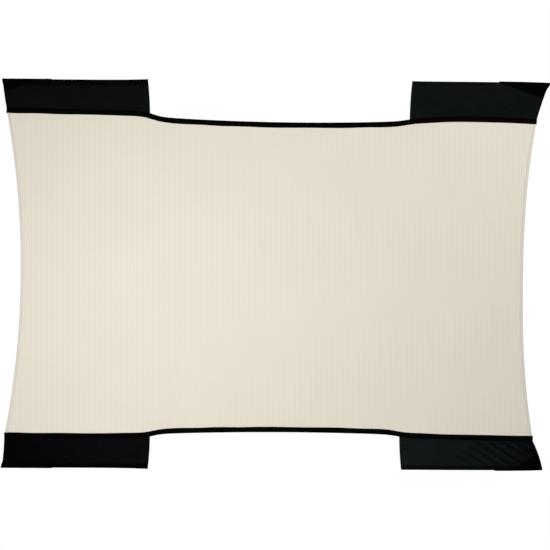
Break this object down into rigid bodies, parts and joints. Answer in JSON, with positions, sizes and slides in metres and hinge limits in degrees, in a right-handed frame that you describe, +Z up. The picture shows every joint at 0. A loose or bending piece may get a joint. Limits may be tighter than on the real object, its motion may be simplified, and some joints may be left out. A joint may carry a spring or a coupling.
{
  "type": "panel reflector",
  "caption": "Rectangular studio reflector: cream cloth screen with black corner bands, stretched by a folding cross of telescoping arms on a tilting stand receiver.",
  "frame": {"origin": "seat at the top of the stand receiver's bore, on the bore's axis", "axes": "+X to the right as the cream face is seen, along the screen's long side; +Y from the cream face to the back; +Z up; the bore opens downwards along -Z"},
  "size_m": [1.25, 0.1038, 0.895],
  "materials": {
    "cream_cloth": "ribbed woven cloth, cream in front and silver behind",
    "hem_cloth": "turned hem of the same cloth",
    "black_nylon": "black woven nylon",
    "tube": "satin anodised",
    "steel": "plated",
    "black_plastic": "moulded, fine grain",
    "bush": "plain nylon",
    "brass": "turned"
  },
  "bodies": {
    "stand_bracket": {"stand_receiver": "black_plastic"},
    "thumbscrew": {"stand_thumbscrew": "steel", "thumbscrew_grip": "black_plastic"},
    "panel_head": {"hub_back_plate": "black_plastic", "hub_spindle": "steel", "hub_washers": "bush", "tilt_bolt": "steel", "tilt_washers": "bush", "screen_cloth": "cream_cloth", "top_binding": "black_nylon", "bottom_binding": "black_nylon", "left_hem": "hem_cloth", "right_hem": "hem_cloth", "corner_band_tl": "black_nylon", "corner_band_tr": "black_nylon", "corner_band_bl": "black_nylon", "corner_band_br": "black_nylon", "corner_patch_tl": "black_nylon", "corner_patch_tr": "black_nylon", "corner_patch_bl": "black_nylon", "corner_patch_br": "black_nylon", "tip_pocket_tl": "black_nylon", "tip_pocket_tr": "black_nylon", "tip_pocket_bl": "black_nylon", "tip_pocket_br": "black_nylon"},
    "tilt_lever": {"tilt_lever": "black_plastic"},
    "fold_knob": {"fold_knob": "black_plastic", "knob_insert": "brass"},
    "front_spar": {"hub_front_disc": "black_plastic", "stop_pin": "steel", "socket_pins_front": "steel", "arm_tube_tl": "tube", "arm_tube_br": "tube", "collet_tl": "bush", "collet_br": "bush"},
    "rear_spar": {"hub_rear_disc": "black_plastic", "socket_pins_rear": "steel", "arm_tube_tr": "tube", "arm_tube_bl": "tube", "collet_tr": "bush", "collet_bl": "bush"},
    "extension_tl": {"arm_extension_tl": "tube", "guide_plug_tl": "bush", "arm_tip_tl": "black_plastic"},
    "extension_tr": {"arm_extension_tr": "tube", "guide_plug_tr": "bush", "arm_tip_tr": "black_plastic"},
    "extension_bl": {"arm_extension_bl": "tube", "guide_plug_bl": "bush", "arm_tip_bl": "black_plastic"},
    "extension_br": {"arm_extension_br": "tube", "guide_plug_br": "bush", "arm_tip_br": "black_plastic"},
    "lock_collar_tl": {"lock_collar_tl": "black_plastic"},
    "lock_collar_tr": {"lock_collar_tr": "black_plastic"},
    "lock_collar_bl": {"lock_collar_bl": "black_plastic"},
    "lock_collar_br": {"lock_collar_br": "black_plastic"}
  },
  "joints": [
    {"name": "thumbscrew_turn", "type": "hinge", "parent": "stand_bracket", "child": "thumbscrew", "pos_m": [0, 0.03, -0.026], "axis": [0, 1, 0], "range_deg": [0, 270]},
    {"name": "tilt", "type": "hinge", "parent": "stand_bracket", "child": "panel_head", "pos_m": [0, 0, 0.044], "axis": [-1, 0, 0], "range_deg": [-5, 85]},
    {"name": "tilt_lever_turn", "type": "hinge", "parent": "panel_head", "child": "tilt_lever", "pos_m": [0.025, 0, 0.044], "axis": [1, 0, 0], "range_deg": [0, 90]},
    {"name": "fold_knob_turn", "type": "hinge", "parent": "panel_head", "child": "fold_knob", "pos_m": [0, -0.0422, 0.114], "axis": [0, 1, 0], "range_deg": [0, 270]},
    {"name": "fold", "type": "hinge", "parent": "panel_head", "child": "front_spar", "pos_m": [0, -0.0422, 0.114], "axis": [0, 1, 0], "range_deg": [0, 36.58], "deforming": ["screen_cloth", "top_binding", "bottom_binding", "left_hem", "right_hem", "corner_band_tl", "corner_band_tr", "corner_band_bl", "corner_band_br", "corner_patch_tl", "corner_patch_tr", "corner_patch_bl", "corner_patch_br", "tip_pocket_tl", "tip_pocket_tr", "tip_pocket_bl", "tip_pocket_br"]},
    {"name": "fold_rear", "type": "hinge", "parent": "panel_head", "child": "rear_spar", "pos_m": [0, -0.0422, 0.114], "axis": [0, 1, 0], "range_deg": [-36.6, 0]},
    {"name": "retract_tl", "type": "slide", "parent": "front_spar", "child": "extension_tl", "axis": [0.8149, 0, -0.5796], "range_m": [0, 0.2922]},
    {"name": "retract_tr", "type": "slide", "parent": "rear_spar", "child": "extension_tr", "axis": [-0.8149, 0, -0.5796], "range_m": [0, 0.2922]},
    {"name": "retract_bl", "type": "slide", "parent": "rear_spar", "child": "extension_bl", "axis": [0.8149, 0, 0.5796], "range_m": [0, 0.2922]},
    {"name": "retract_br", "type": "slide", "parent": "front_spar", "child": "extension_br", "axis": [-0.8149, 0, 0.5796], "range_m": [0, 0.2922]},
    {"name": "collar_twist_tl", "type": "hinge", "parent": "front_spar", "child": "lock_collar_tl", "pos_m": [-0.34225, -0.0422, 0.35744], "axis": [-0.8149, 0, 0.5796], "range_deg": [0, 90]},
    {"name": "collar_twist_tr", "type": "hinge", "parent": "rear_spar", "child": "lock_collar_tr", "pos_m": [0.34225, -0.0422, 0.35744], "axis": [0.8149, 0, 0.5796], "range_deg": [0, 90]},
    {"name": "collar_twist_bl", "type": "hinge", "parent": "rear_spar", "child": "lock_collar_bl", "pos_m": [-0.34225, -0.0422, -0.12944], "axis": [-0.8149, 0, -0.5796], "range_deg": [0, 90]},
    {"name": "collar_twist_br", "type": "hinge", "parent": "front_spar", "child": "lock_collar_br", "pos_m": [0.34225, -0.0422, -0.12944], "axis": [0.8149, 0, -0.5796], "range_deg": [0, 90]}
  ],
  "couplings": [
    {"joint": "fold_rear", "follows": "fold", "ratio": -1},
    {"joint": "retract_tl", "follows": "fold", "m_per_rad": 0.45723},
    {"joint": "retract_tr", "follows": "fold", "m_per_rad": 0.45723},
    {"joint": "retract_bl", "follows": "fold", "m_per_rad": 0.45723},
    {"joint": "retract_br", "follows": "fold", "m_per_rad": 0.45723}
  ]
}
